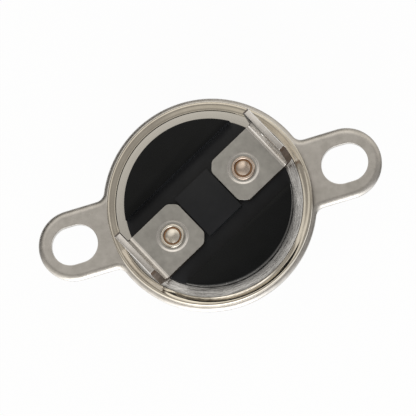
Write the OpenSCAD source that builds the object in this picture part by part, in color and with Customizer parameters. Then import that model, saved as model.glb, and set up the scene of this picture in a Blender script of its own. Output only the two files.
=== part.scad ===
// Snap-disc safety thermostat of a clothes dryer.
// A sheet flange with two slotted ears lies between the bead and the shoulder of a metal sensing cup.
// The cup's rim is rolled over a washer and the shoulder of a black moulded switch case. Inside, a
// bimetal disc snaps and lifts a pin, and the pin lifts a leaf spring off the fixed contact. The two
// flat terminals are riveted to the top of the case.
// Origin: the middle of the sensing face, on the axis of the cup. +Z points to the terminals and
// +X runs along the ears. Sizes are in millimetres.

/* [Mounting flange] */
// Thickness of the flange's sheet
flange_t = 0.8; // [0.6:0.1:1.2]
// Diameter of the flange's round middle
flange_d = 25; // [24.6:0.1:27]
// Length over both ears
ear_span = 41.4; // [40.4:0.1:44]
// Width of an ear
ear_w = 8.3; // [7:0.1:10]
// Radius of the fillet where an ear leaves the round middle
ear_fillet = 1.2; // [0.5:0.1:2]
// Metal left between the end of a slot and the end of its ear
ear_end = 1.55; // [1.2:0.05:2]
// Length of an ear slot, end to end
slot_l = 5.5; // [5:0.1:6]
// Width of an ear slot
slot_w = 4.5; // [3.5:0.1:4.9]
// Radial play between the flange's hole and the neck of the cup
flange_play = 0.35; // [0.32:0.01:0.45]
// How far off centre the flange is clamped
flange_shift = 0.18; // [0:0.01:0.3]
// Direction of that offset, from the +X axis
shift_angle = 125; // [0:5:355]

/* [Sensing cup] */
// Thickness of the cup's sheet
cup_t = 0.35; // [0.3:0.05:0.45]
// Distance from the sensing face to the underside of the flange
cup_depth = 6.2; // [5.8:0.1:9]
// Width of the bevel around the sensing face
cup_bevel = 0.6; // [0.5:0.05:0.8]
// Radial gap between the case and the inner edge of the rolled rim
lip_gap = 1.15; // [1:0.05:1.25]
// Width of the rolled rim
lip_w = 1.1; // [1.05:0.05:1.3]
// Radius of the rim's outer shoulder
rim_round = 0.4; // [0.3:0.05:0.45]
// Height of the rim's crest over the flat of the lip
lip_crown = 0.15; // [0.1:0.05:0.25]
// Width of the slope from that crest down to the flat of the lip
lip_slope = 0.35; // [0.2:0.05:0.35]
// How far the bead under the flange stands out from the neck
bead_h = 0.5; // [0.4:0.05:0.6]
// Height of that bead
bead_w = 0.7; // [0.5:0.05:0.9]
// Gap between the bead and the underside of the flange
bead_gap = 0.02; // [0.01:0.01:0.05]

/* [Switch case] */
// Diameter of the case above the rim
case_d = 19.5; // [19:0.1:19.9]
// Height of the case over the rim's lip
case_rise = 1.55; // [1.45:0.05:4]
// Thickness of the case's shoulder, held by the rim
shoulder_t = 0.35; // [0.3:0.05:0.8]
// Thickness of the washer's foot, between the shoulder and the rim's lip
washer_t = 0.2; // [0.15:0.05:0.4]
// Height of the washer's crown over its foot
washer_crown = 0.3; // [0.2:0.05:0.35]
// Gap between that crown and the edge of the lip
crown_gap = 0.05; // [0.03:0.01:0.1]
// Bevel around the inner edge of the washer
washer_bevel = 0.12; // [0.05:0.01:0.15]
// Radial gap between the case and that washer
washer_gap = 0.1; // [0.05:0.01:0.2]
// Depth of the spigot that goes down into the cup's neck
spigot_h = 3.75; // [3.4:0.05:4.1]
// Radial gap between the case or the disc retainer and the cup
case_gap = 0.1; // [0.05:0.01:0.12]
// Depth of the channel that the terminals lie in
channel_depth = 1.2; // [1:0.1:1.5]
// Width of that channel
channel_w = 10.2; // [9:0.1:11]
// Width of the raised block between the terminals
block_w = 6; // [5:0.1:7]
// Depth of the block's top under the top of the case
block_drop = 0.45; // [0.2:0.05:0.8]
// Gap between the block and the end of each terminal
block_gap = 0.15; // [0.1:0.05:0.4]
// Rounding of the case's top edge
case_round = 0.15; // [0.1:0.05:0.4]
// Gap between the wall of the switch chamber and the roots of the spring and the bar
chamber_gap = 0.33; // [0.2:0.01:0.5]
// Thickness of the roof over the chamber, under the channel
roof_t = 1; // [0.8:0.1:1.2]
// Drop of the rivet lands from the chamber's roof
land_drop = 1.3; // [1.3:0.05:1.6]
// Width of a rivet land
land_w = 6; // [5:0.1:7]

/* [Terminals and rivets] */
// Angle from the ears to the line through the two terminals
terminal_angle = 27.5; // [0:0.5:90]
// Width of a terminal
tab_w = 6.35; // [4.75:0.05:6.4]
// Thickness of a terminal
tab_t = 0.8; // [0.5:0.05:0.9]
// Height of a blade over its base plate
tab_h = 8; // [7:0.1:10]
// Length of a base plate from its inner end to the rivet
plate_back = 2.95; // [2.6:0.05:3.2]
// Length of a base plate from the rivet to the start of the bend
plate_front = 3.45; // [3.2:0.05:3.8]
// Cut corners at the inner end of a base plate
plate_cut = 0.9; // [0.5:0.05:1.2]
// Inner radius of the bend
bend_r = 0.6; // [0.4:0.05:0.8]
// Length of the bevelled tip of a blade
tip_l = 0.5; // [0.4:0.05:1.5]
// Cut at each corner of the tip, across the blade
tip_cut = 0.3; // [0.2:0.05:1.2]
// Bevel on each face of the tip
tip_bevel = 0.08; // [0.04:0.01:0.2]
// Diameter of the detent hole
detent_d = 1.8; // [1.4:0.1:2.2]
// Distance from the tip to the centre of the detent hole
detent_at = 3.6; // [3:0.1:4.5]
// Diameter of a rivet's shank
shank_d = 2; // [1.8:0.05:2.1]
// Diameter of the flared ring of a rivet
rivet_d = 2.8; // [2.6:0.05:3]
// Height of the flared ring
rivet_h = 0.4; // [0.3:0.05:0.6]
// Width of the flared ring, across its section
ring_w = 0.3; // [0.25:0.01:0.35]
// Diameter of the dome inside the ring
dome_d = 1.8; // [1.6:0.05:1.85]
// Height of that dome over the foot of the groove around it
dome_h = 0.4; // [0.3:0.05:0.5]
// Diameter of a rivet's inner head
inner_head_d = 2.7; // [2.6:0.05:2.8]
// Height of a rivet's inner head
inner_head_h = 0.5; // [0.4:0.05:0.6]
// Diameter of the circle pressed into the base plate around a rivet
coin_d = 3.6; // [3.3:0.1:4]
// Depth of that circle
coin_depth = 0.12; // [0.05:0.01:0.2]

/* [Switch] */
// Thickness of the leaf spring
arm_t = 0.25; // [0.2:0.01:0.3]
// Width of the leaf spring
arm_w = 4; // [3.6:0.1:4.5]
// How far the leaf spring reaches past the moving contact
arm_margin = 0.1; // [0.05:0.05:0.3]
// Gap between the free end of the leaf spring and the step of the bar
arm_end_gap = 0.25; // [0.15:0.05:0.4]
// Gap between the pin and the two contacts
pin_contact_gap = 0.35; // [0.25:0.05:0.5]
// Diameter of a contact button
contact_d = 2; // [1.6:0.05:2]
// How far the spring and the bar reach past the heads of the rivets
root_margin = 0.2; // [0.1:0.05:0.3]
// Height of a contact button
contact_h = 0.55; // [0.4:0.05:0.6]
// Gap left between the two closed contacts
contact_gap = 0.02; // [0.01:0.01:0.05]
// Thickness of the bar under the fixed contact
bar_t = 0.5; // [0.4:0.05:0.5]
// Width of that bar
bar_w = 4; // [3.6:0.1:4.5]
// How far the bar reaches past the fixed contact
bar_margin = 0.05; // [0:0.05:0.15]
// Gap between the step of the bar and the inner head of its rivet
head_gap = 0.1; // [0.05:0.05:0.3]

/* [Disc and pin] */
// Diameter of the bimetal disc
disc_d = 19.05; // [18.8:0.01:19.2]
// Thickness of the bimetal disc
disc_t = 0.25; // [0.2:0.01:0.3]
// Depth of the dish of the cold disc
disc_dish = 0.3; // [0.28:0.01:0.35]
// Radial gap between the disc and the cup
disc_gap = 0.25; // [0.2:0.01:0.35]
// Gap between the cold disc and the ledge under it
disc_seat_gap = 0.01; // [0.01:0.01:0.03]
// Gap between the cold disc's rim and the retainer over it
disc_play = 0.08; // [0.05:0.01:0.12]
// Width of the ledge that the disc's rim rests on
ledge_w = 0.75; // [0.6:0.05:1]
// Gap between the cold disc and the sensing face's inside
disc_floor_gap = 0.3; // [0.2:0.05:0.5]
// Diameter of the transfer pin
pin_d = 2; // [1.6:0.05:2]
// Bevel around the foot of the pin
pin_bevel = 0.2; // [0.1:0.05:0.3]
// Width of the cone around the top of the pin
pin_cone_w = 0.5; // [0.3:0.05:0.6]
// Height of that cone
pin_cone_h = 0.3; // [0.2:0.05:0.5]
// Radial gap between the pin and its guide
pin_gap = 0.05; // [0.03:0.01:0.08]
// Gap left at each end of the pin
pin_end_gap = 0.05; // [0.03:0.01:0.08]
// Diameter of the boss that guides the pin
boss_d = 4.4; // [4:0.1:5]
// Gap between that boss and the bar over it
boss_gap = 0.2; // [0.1:0.05:0.4]

/* [Hidden] */
$fn = 96;
// How far a cutter passes the face that it cuts
cut = 0.5;
// How far a fillet's circle dips into the edges that it joins
dip = 0.01;

// Radii of the cup and of what it holds
neck_in_r = disc_d / 2 + disc_gap;
neck_r = neck_in_r + cup_t;
lip_r = case_d / 2 + lip_gap;
rim_r = lip_r + lip_w;
nose_r = cup_t / 2;
flange_hole_r = neck_r + flange_play;
shoulder_r = rim_r - cup_t - case_gap;

// Distances from the axis along the ears and along the line of the terminals
slot_at = (ear_span - slot_l) / 2 - ear_end;
contact_at = pin_d / 2 + pin_contact_gap + contact_d / 2;
bar_in = contact_at - contact_d / 2 - bar_margin;
arm_tip = contact_at + contact_d / 2 + arm_margin;
bar_step_at = arm_tip + arm_end_gap;
rivet_at = bar_step_at + bar_t + head_gap + inner_head_d / 2;
land_in = rivet_at - inner_head_d / 2 - root_margin;
root_at = rivet_at + inner_head_d / 2 + root_margin;
chamber_r = norm([root_at, max(arm_w, bar_w) / 2]) + chamber_gap;
plate_in = rivet_at - plate_back;
bend_at = rivet_at + plate_front;

// Heights, from the sensing face up
flange_z = cup_depth;
seat_z = flange_z + flange_t;
shoulder_z = seat_z + cup_t;
washer_z = shoulder_z + shoulder_t;
lip_z = washer_z + washer_t;
crown_z = lip_z + cup_t + lip_crown;
case_z = lip_z + cup_t + case_rise;
channel_z = case_z - channel_depth;
roof_z = channel_z - roof_t;
land_z = roof_z - land_drop;
spigot_z = shoulder_z - spigot_h;
plate_top_z = channel_z + tab_t;
tip_z = plate_top_z + tab_h;
tab_in_u = bend_at + bend_r;

// Disc, from the inner corner of the ledge that its rim rests on
disc_r = disc_d / 2;
ledge_r = neck_in_r - ledge_w;
disc_floor_z = cup_t + disc_floor_gap;
ledge_z = disc_floor_z + disc_rise(ledge_r) - disc_seat_gap;
disc_top_z = disc_floor_z + disc_t;
retainer_z = disc_top_z + disc_rise(disc_r) + disc_play;
recess_z = retainer_z + disc_dish + disc_t;

// Contacts and pin, down from the leaf spring
arm_z = land_z - arm_t;
fixed_top_z = arm_z - contact_h - contact_gap;
bar_z = fixed_top_z - contact_h;
pin_z = disc_top_z + pin_end_gap;
pin_top_z = arm_z - pin_end_gap;
boss_z = bar_z - bar_t - boss_gap;

steel = [0.72, 0.7, 0.66];
nickel = [0.66, 0.65, 0.63];
black = [0.1, 0.1, 0.11];
copper = [0.78, 0.6, 0.45];
brass = [0.8, 0.66, 0.36];
silver = [0.85, 0.85, 0.85];
ceramic = [0.9, 0.88, 0.82];
brown = [0.35, 0.22, 0.15];

// Points of an arc about c, from angle a to angle b
function arc(c, r, a, b, steps = 10) =
  [for (i = [0:steps]) let (t = a + (b - a) * i / steps) c + r * [cos(t), sin(t)]];

// Radius of a sphere's cap that is a wide and h high
function cap_r(a, h) = (a * a + h * h) / (2 * h);

// How far the dished disc has risen at radius r, from its middle
function disc_rise(r) = let (s = cap_r(disc_d / 2, disc_dish)) s - sqrt(s * s - r * r);

// Points of a low dome over height z, from its edge at radius a up to its top at the axis
function dome(a, h, z) =
  let (s = cap_r(a, h), start = asin((s - h) / s))
    arc([0, z + h - s], s, start, 90, 8);

module turn_to_terminals() {
  rotate([0, 0, terminal_angle])
    children();
}

module ear_outline() {
  end_u = ear_span / 2 - ear_w / 2;
  translate([end_u, 0])
    circle(d = ear_w);
  translate([0, -ear_w / 2])
    square([end_u, ear_w]);
}

module ear_fillets() {
  fillet_v = ear_w / 2 + ear_fillet - dip;
  centre_r = flange_d / 2 + ear_fillet - dip;
  fillet_u = sqrt(centre_r * centre_r - fillet_v * fillet_v);
  toe = [fillet_u, fillet_v] * (flange_d / 2 - cut) / centre_r;
  for (side = [0, 1])
    mirror([0, side])
      difference() {
        polygon([[0, 0], [fillet_u, 0], [fillet_u, fillet_v], toe]);
        translate([fillet_u, fillet_v])
          circle(r = ear_fillet, $fn = 48);
      }
}

module slot_outline() {
  half = (slot_l - slot_w) / 2;
  for (end = [-1, 1])
    translate([slot_at + end * half, 0])
      circle(d = slot_w);
  translate([slot_at - half, -slot_w / 2])
    square([2 * half, slot_w]);
}

module mounting_flange() {
  color(nickel)
    translate([flange_shift * cos(shift_angle), flange_shift * sin(shift_angle), flange_z])
      difference() {
        linear_extrude(flange_t)
          difference() {
            union() {
              circle(d = flange_d, $fn = 180);
              for (turn = [0, 180])
                rotate(turn) {
                  ear_outline();
                  ear_fillets();
                }
            }
            for (turn = [0, 180])
              rotate(turn)
                slot_outline();
          }
        translate([0, 0, -cut])
          cylinder(r = flange_hole_r, h = flange_t + 2 * cut);
      }
}

// The cup is one drawn sheet: sensing face, bevel, neck with a bead, shoulder and rolled rim
module sensing_cup() {
  bead_top_z = flange_z - bead_gap;
  bead_z = bead_top_z - bead_w;
  bead_r = neck_r + bead_h;
  bead_bevel = bead_w / 3;
  crown_r = rim_r - rim_round;
  color(steel)
    rotate_extrude($fn = 128)
      polygon(concat(
        [[0, 0], [neck_r - cup_bevel, 0], [neck_r, cup_bevel], [neck_r, bead_z]],
        [[bead_r, bead_z + bead_bevel], [bead_r, bead_top_z], [neck_r, bead_top_z], [neck_r, seat_z]],
        arc([rim_r - cup_t, shoulder_z], cup_t, -90, 0, 6),
        arc([crown_r, crown_z - rim_round], rim_round, 0, 90),
        [[crown_r - lip_slope, lip_z + cup_t]],
        arc([lip_r + nose_r, lip_z + nose_r], nose_r, 90, 270, 12),
        [[rim_r - cup_t, lip_z], [rim_r - cup_t, shoulder_z], [neck_in_r, shoulder_z]],
        [[neck_in_r, ledge_z], [ledge_r, ledge_z], [ledge_r, cup_t], [0, cup_t]]
      ));
}

// A land on the roof of the chamber, from u0 to u1 along the terminal line. It is rooted in the roof
module land(u0, u1) {
  translate([u0, -land_w / 2, land_z])
    cube([u1 - u0, land_w, land_drop + roof_t / 2]);
}

module case_shell() {
  case_r = case_d / 2;
  spigot_r = neck_in_r - case_gap;
  rotate_extrude($fn = 128)
    polygon(concat(
      [[0, spigot_z], [spigot_r, spigot_z], [spigot_r, shoulder_z], [shoulder_r, shoulder_z]],
      [[shoulder_r, washer_z], [case_r, washer_z]],
      arc([case_r - case_round, case_z - case_round], case_round, 0, 90, 6),
      [[0, case_z]]
    ));
}

// The crowned ring of metal that the lip presses on. It slopes down from the case to its foot
module rim_washer() {
  inner_r = case_d / 2 + washer_gap;
  top_r = inner_r + washer_bevel;
  crown_w = lip_r - crown_gap - top_r;
  color(silver)
    rotate_extrude($fn = 128)
      polygon(concat(
        [[inner_r, washer_z], [shoulder_r, washer_z], [shoulder_r, lip_z]],
        [for (p = dome(crown_w, washer_crown, lip_z)) p + [top_r, 0]],
        [[inner_r, lip_z + washer_crown - washer_bevel]]
      ));
}

module channel_cut() {
  block_l = 2 * (plate_in - block_gap);
  difference() {
    translate([-case_d, -channel_w / 2, channel_z])
      cube([2 * case_d, channel_w, channel_depth + cut]);
    translate([-block_l / 2, -block_w / 2, channel_z - cut])
      cube([block_l, block_w, cut + channel_depth - block_drop]);
  }
}

module switch_case() {
  color(black)
    turn_to_terminals()
      difference() {
        case_shell();
        channel_cut();
        difference() {
          translate([0, 0, spigot_z - cut])
            cylinder(r = chamber_r, h = roof_z - spigot_z + cut);
          land(-chamber_r - cut, -land_in);
          land(land_in, chamber_r + cut);
        }
        for (side = [-1, 1])
          translate([side * rivet_at, 0, land_z - cut])
            cylinder(d = shank_d, h = channel_z - land_z + 2 * cut);
      }
}

// One terminal, drawn on the +X side: base plate, bend and blade
module terminal() {
  outer_u = tab_in_u + tab_t;
  bend_c = [bend_at, plate_top_z + bend_r];
  tip_past = tip_cut * cut / tip_l;
  difference() {
    rotate([90, 0, 0])
      linear_extrude(tab_w, center = true)
        polygon(concat(
          [[plate_in, channel_z]],
          arc(bend_c, bend_r + tab_t, -90, 0),
          [[outer_u, tip_z - tip_l], [outer_u - tip_bevel, tip_z], [tab_in_u + tip_bevel, tip_z]],
          [[tab_in_u, tip_z - tip_l]],
          arc(bend_c, bend_r, 0, -90),
          [[plate_in, plate_top_z]]
        ));
    for (side = [0, 1])
      mirror([0, side, 0]) {
        translate([0, 0, channel_z - cut])
          linear_extrude(tab_t + 2 * cut)
            polygon([
              [plate_in - cut, tab_w / 2 - plate_cut - cut], [plate_in + plate_cut + cut, tab_w / 2 + cut],
              [plate_in - cut, tab_w / 2 + cut]
            ]);
        rotate([90, 0, 90])
          linear_extrude(outer_u + cut)
            polygon([
              [tab_w / 2 - tip_cut - tip_past, tip_z + cut], [tab_w / 2 + tip_past, tip_z + cut],
              [tab_w / 2 + tip_past, tip_z - tip_l - cut]
            ]);
      }
    translate([rivet_at, 0, channel_z - cut])
      cylinder(d = shank_d, h = tab_t + 2 * cut);
    translate([rivet_at, 0, plate_top_z - coin_depth])
      cylinder(d = coin_d, h = cut);
    translate([tab_in_u - cut, 0, tip_z - detent_at])
      rotate([0, 90, 0])
        cylinder(d = detent_d, h = tab_t + 2 * cut, $fn = 32);
  }
}

module left_terminal() {
  color(nickel)
    turn_to_terminals()
      rotate([0, 0, 180])
        terminal();
}

module right_terminal() {
  color(nickel)
    turn_to_terminals()
      terminal();
}

// One rivet, about its own axis. What it clamps inside the case ends at inside_z
module rivet(inside_z) {
  base_z = plate_top_z - coin_depth;
  head_z = inside_z - inner_head_h;
  ring_r = rivet_d / 2;
  ring_in_r = ring_r - ring_w;
  ring_top_z = base_z + rivet_h - ring_w / 2;
  shank_r = shank_d / 2;
  head_r = inner_head_d / 2;
  head_bevel = inner_head_h / 3;
  groove_z = base_z + rivet_h / 4;
  rotate_extrude($fn = 64)
    polygon(concat(
      [[0, head_z], [head_r - head_bevel, head_z], [head_r, head_z + head_bevel]],
      [[head_r, inside_z], [shank_r, inside_z], [shank_r, base_z], [ring_r, base_z]],
      arc([ring_r - ring_w / 2, ring_top_z], ring_w / 2, 0, 180, 8),
      [[ring_in_r, groove_z]],
      dome(dome_d / 2, dome_h, groove_z)
    ));
}

module left_rivet() {
  color(copper)
    turn_to_terminals()
      translate([-rivet_at, 0, 0])
        rivet(arm_z);
}

module right_rivet() {
  color(copper)
    turn_to_terminals()
      translate([rivet_at, 0, 0])
        rivet(land_z - bar_t);
}

module contact_arm() {
  color(brass)
    turn_to_terminals()
      difference() {
        union() {
          translate([-root_at, -arm_w / 2, arm_z])
            cube([root_at + arm_tip - arm_w / 2, arm_w, arm_t]);
          translate([arm_tip - arm_w / 2, 0, arm_z])
            cylinder(d = arm_w, h = arm_t);
        }
        translate([-rivet_at, 0, arm_z - cut])
          cylinder(d = shank_d, h = arm_t + 2 * cut);
      }
}

module moving_contact() {
  color(silver)
    turn_to_terminals()
      translate([contact_at, 0, arm_z])
        mirror([0, 0, 1])
          cylinder(d = contact_d, h = contact_h);
}

module fixed_contact_bar() {
  low_z = bar_z - bar_t;
  high_z = land_z - bar_t;
  color(brass)
    turn_to_terminals()
      difference() {
        rotate([90, 0, 0])
          linear_extrude(bar_w, center = true)
            polygon([
              [bar_in, low_z], [bar_step_at + bar_t, low_z], [bar_step_at + bar_t, high_z],
              [root_at, high_z], [root_at, land_z], [bar_step_at, land_z],
              [bar_step_at, bar_z], [bar_in, bar_z]
            ]);
        translate([rivet_at, 0, high_z - cut])
          cylinder(d = shank_d, h = bar_t + 2 * cut);
      }
}

module fixed_contact() {
  color(silver)
    turn_to_terminals()
      translate([contact_at, 0, bar_z])
        cylinder(d = contact_d, h = contact_h);
}

module bimetal_disc() {
  steps = 24;
  radii = [for (i = [0:steps]) disc_r * i / steps];
  under = [for (r = radii) [r, disc_floor_z + disc_rise(r)]];
  over = [for (i = [steps:-1:0]) under[i] + [0, disc_t]];
  color(silver)
    rotate_extrude()
      polygon(concat(under, over));
}

module disc_retainer() {
  retainer_r = neck_in_r - case_gap;
  guide_r = pin_d / 2 + pin_gap;
  color(brown)
    rotate_extrude()
      polygon([
        [guide_r, recess_z], [ledge_r, recess_z], [ledge_r, retainer_z], [retainer_r, retainer_z],
        [retainer_r, spigot_z], [boss_d / 2, spigot_z], [boss_d / 2, boss_z], [guide_r, boss_z]
      ]);
}

module transfer_pin() {
  pin_r = pin_d / 2;
  color(ceramic)
    rotate_extrude($fn = 48)
      polygon([
        [0, pin_z], [pin_r - pin_bevel, pin_z], [pin_r, pin_z + pin_bevel],
        [pin_r, pin_top_z - pin_cone_h], [pin_r - pin_cone_w, pin_top_z], [0, pin_top_z]
      ]);
}

mounting_flange();
sensing_cup();
rim_washer();
switch_case();
left_terminal();
right_terminal();
left_rivet();
right_rivet();
contact_arm();
moving_contact();
fixed_contact_bar();
fixed_contact();
bimetal_disc();
disc_retainer();
transfer_pin();
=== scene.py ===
"""Looks of the snap-disc thermostat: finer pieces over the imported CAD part, materials, lights and camera."""

import math

import bmesh
import bpy
from mathutils import Matrix, Vector
from mathutils.geometry import delaunay_2d_cdt


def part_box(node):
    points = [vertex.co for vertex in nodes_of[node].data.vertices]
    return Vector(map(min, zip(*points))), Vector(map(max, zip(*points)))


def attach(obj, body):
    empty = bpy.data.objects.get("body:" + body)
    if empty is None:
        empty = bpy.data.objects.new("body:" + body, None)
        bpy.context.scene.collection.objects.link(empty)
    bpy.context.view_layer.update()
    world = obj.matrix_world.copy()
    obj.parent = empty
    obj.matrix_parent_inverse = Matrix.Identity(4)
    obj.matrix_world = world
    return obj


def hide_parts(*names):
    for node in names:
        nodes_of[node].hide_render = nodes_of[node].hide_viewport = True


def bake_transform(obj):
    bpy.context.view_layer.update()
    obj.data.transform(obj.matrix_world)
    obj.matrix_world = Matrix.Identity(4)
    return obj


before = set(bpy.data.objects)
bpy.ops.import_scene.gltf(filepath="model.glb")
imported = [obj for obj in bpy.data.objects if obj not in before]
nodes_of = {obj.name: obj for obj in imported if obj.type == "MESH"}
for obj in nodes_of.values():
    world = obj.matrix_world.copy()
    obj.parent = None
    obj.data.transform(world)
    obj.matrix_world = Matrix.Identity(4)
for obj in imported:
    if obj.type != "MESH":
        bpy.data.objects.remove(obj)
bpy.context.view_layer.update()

MM = 0.001


def corners_of(node):
    """Lowest and highest corner of a CAD node at rest, in millimetres."""
    low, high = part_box(node)
    return low / MM, high / MM


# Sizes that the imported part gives, in millimetres
flange_low, flange_high = corners_of("mounting_flange")
cup_high = corners_of("sensing_cup")[1]
washer_low, washer_high = corners_of("rim_washer")
case_low, case_high = corners_of("switch_case")
tab_low, tab_high = corners_of("right_terminal")
spring_low, spring_high = corners_of("contact_arm")
retainer_high = corners_of("disc_retainer")[1]

FLANGE_Z, SEAT_Z = flange_low.z, flange_high.z
FLANGE_AT = (flange_low + flange_high).to_2d() / 2
FLANGE_R = (flange_high.y - flange_low.y) / 2
EAR_END = (flange_high.x - flange_low.x) / 2
RIM_R, CROWN_Z = cup_high.x, cup_high.z
SHOULDER_R, WASHER_Z, WASHER_TOP_Z = washer_high.x, washer_low.z, washer_high.z
SPIGOT_Z, CASE_Z = case_low.z, case_high.z
CHANNEL_Z, TIP_Z = tab_low.z, tab_high.z
ARM_Z, LAND_Z = spring_low.z, spring_high.z
SPIGOT_R = retainer_high.x

# Sizes as in the part's source, in millimetres
TERMINAL_ANGLE = math.radians(27.5)
EAR_R, EAR_FILLET = 4.15, 1.2
SLOT_AT, SLOT_R, SLOT_HALF = 16.4, 2.25, 0.5
FLANGE_PLAY = 0.35
CUP_T, CASE_GAP = 0.35, 0.1
BEAD_H, BEAD_W, BEAD_GAP = 0.5, 0.7, 0.02
LIP_W, LEDGE_W, LEDGE_Z = 1.1, 0.75, 0.909
WASHER_CROWN = 0.3
CASE_R = 9.75
CHANNEL_W = 10.2
BLOCK_W, BLOCK_GAP, BLOCK_DROP = 6.0, 0.15, 0.45
CHAMBER_R, ROOF_T = 7.8026, 1.0
LAND_IN, LAND_W = 4.1, 6.0
TAB_T, TAB_W = 0.8, 6.35
PLATE_BACK, PLATE_FRONT, PLATE_CUT = 2.95, 3.45, 0.9
BEND_R = 0.6
TIP_L, TIP_CUT, TIP_BEVEL = 0.5, 0.3, 0.08
DETENT_R, DETENT_AT = 0.9, 3.6
RIVET_AT, SHANK_R, RIVET_R = 5.65, 1.0, 1.4
HEAD_R, HEAD_H = 1.35, 0.5
COIN_R = 1.8
ARM_W, ARM_TIP, ROOT_AT = 4.0, 3.45, 7.2
BAR_T = 0.5

# Sizes and places that follow from those
NECK_IN_R = SPIGOT_R + CASE_GAP
NECK_R = NECK_IN_R + CUP_T
FLANGE_HOLE_R = NECK_R + FLANGE_PLAY
BEAD_R, BEAD_TOP_Z = NECK_R + BEAD_H, FLANGE_Z - BEAD_GAP
SHOULDER_Z = SEAT_Z + CUP_T
LIP_R, LIP_Z = RIM_R - LIP_W, WASHER_TOP_Z - WASHER_CROWN
LEDGE_R = NECK_IN_R - LEDGE_W
ROOF_Z = CHANNEL_Z - ROOF_T
PLATE_TOP_Z = CHANNEL_Z + TAB_T
PLATE_IN, BEND_AT = RIVET_AT - PLATE_BACK, RIVET_AT + PLATE_FRONT
TIP_T = TAB_T - 2 * TIP_BEVEL
BLOCK_L, BLOCK_Z = 2 * PLATE_IN - 2 * BLOCK_GAP, CASE_Z - BLOCK_DROP

# Where the terminals lie, as a unit vector
LINE = Vector((math.cos(TERMINAL_ANGLE), math.sin(TERMINAL_ANGLE), 0))
# How far a cutter passes what it cuts
PAST = 0.5
# How far a limit lies from the faces or vertices that it picks out, and where it keeps closer to them
NEAR, CLOSE = 0.1, 0.02
# Tolerances: points of an outline that are one, points on a cutting plane, no length, vertices to merge
SAME_POINT, ON_PLANE, NO_LENGTH, WELD = 1e-4, 1e-5, 1e-6, 0.0005


# Outlines made of arcs, joined by lines
def arc(cx, cy, r, a0, a1, steps):
    """One arc of an outline. The angles are in degrees."""
    return (cx, cy, r, math.radians(a0), math.radians(a1), steps)


def outline(arcs, inset=0.0):
    """Points of a closed outline, moved inwards by inset. An arc that turns clockwise is hollow, so its
    radius grows."""
    points = []
    for cx, cy, r, a0, a1, steps in arcs:
        radius = r - inset if a1 > a0 else r + inset
        for i in range(steps + 1):
            a = a0 + (a1 - a0) * i / steps
            points.append((cx + radius * math.cos(a), cy + radius * math.sin(a)))
    return points


def circle(cx, cy, r, steps):
    """A whole circle as one arc, without the repeated last point."""
    return [arc(cx, cy, r, 0, 360 - 360 / steps, steps - 1)]


def rounded(corners, steps=5):
    """The arcs of a convex polygon, counter-clockwise, from its corners as (x, y, rounding)."""
    made = []
    for i, (x, y, radius) in enumerate(corners):
        before = (Vector(corners[i - 1][:2]) - Vector((x, y))).normalized()
        after = (Vector(corners[(i + 1) % len(corners)][:2]) - Vector((x, y))).normalized()
        half = before.angle(after) / 2
        middle = (before + after).normalized() * (radius / math.sin(half))
        start = math.atan2(before.x, -before.y)
        made.append((x + middle.x, y + middle.y, radius, start, start + math.pi - 2 * half, steps))
    return made


def lower_edge(low, radius, steps=5, margin=0.06):
    """Pairs of inset and height round the lower edge of a sheet. The first pair leaves a narrow flat margin
    on the face, which keeps the shading of the face clean."""
    pairs = [(radius + margin, low)]
    for i in range(steps + 1):
        a = math.pi / 2 * i / steps
        pairs.append((radius * (1 - math.sin(a)), low + radius * (1 - math.cos(a))))
    return pairs


def edge_profile(low, high, low_round, high_round, steps=5, margin=0.06):
    """Pairs of inset and height up the side of a sheet with both edges rounded."""
    pairs = lower_edge(low, low_round, steps, margin)
    for i in range(steps + 1):
        a = math.pi / 2 * i / steps
        pairs.append((high_round * (1 - math.cos(a)), high - high_round * (1 - math.sin(a))))
    pairs.append((high_round + margin, high))
    return pairs


def rolled_edge(low, high, low_round, roll_r, roll_angle, steps=8, margin=0.06):
    """As edge_profile, for a stamped sheet: the upper face rolls over a little and ends in a sharp edge."""
    reach = math.radians(roll_angle)
    pairs = lower_edge(low, low_round, margin=margin)
    for i in range(steps + 1):
        a = reach * (1 - i / steps)
        pairs.append((roll_r * (math.sin(reach) - math.sin(a)), high - roll_r * (1 - math.cos(a))))
    pairs.append((roll_r * math.sin(reach) + margin, high))
    return pairs


# Mesh helpers. Meshes are built in millimetres
def bridge(bm, low, high, flip=False):
    """Quads between two closed rings of the same length, both counter-clockwise."""
    for i in range(len(low)):
        j = (i + 1) % len(low)
        quad = (low[i], low[j], high[j], high[i])
        bm.faces.new(quad[::-1] if flip else quad)


def within(point, rings):
    """Whether a point lies inside an odd number of closed rings of vertices."""
    crossings = 0
    for ring in rings:
        for i, v in enumerate(ring):
            (x0, y0), (x1, y1) = ring[i - 1].co[:2], v.co[:2]
            if (y0 > point.y) != (y1 > point.y) and point.x < x0 + (x1 - x0) * (point.y - y0) / (y1 - y0):
                crossings += 1
    return crossings % 2 == 1


def cap(bm, rings, up):
    """Fills the flat region between an outer ring and the rings of its holes."""
    verts = [v for ring in rings for v in ring]
    edges, start = [], 0
    for ring in rings:
        edges += [(start + i, start + (i + 1) % len(ring)) for i in range(len(ring))]
        start += len(ring)
    flat = [v.co.to_2d() for v in verts]
    points, _, faces, source, _, _ = delaunay_2d_cdt(flat, edges, [], 0, NO_LENGTH)
    for face in faces:
        if within(sum((points[i] for i in face), Vector((0, 0))) / len(face), rings):
            turn = [verts[source[i][0]] for i in face]
            bm.faces.new(turn if up else turn[::-1])


def wall(bm, arcs, pairs, hole=False):
    """The side of a sheet along an outline. Returns its lowest and its highest ring."""
    rings = []
    for inset, z in pairs:
        points = [Vector(point) for point in outline(arcs, -inset if hole else inset)]
        kept = [p for i, p in enumerate(points) if (p - points[i - 1]).length > SAME_POINT]
        rings.append([bm.verts.new((*p, z)) for p in kept])
    for low, high in zip(rings, rings[1:]):
        bridge(bm, low, high, flip=hole)
    return rings[0], rings[-1]


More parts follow.
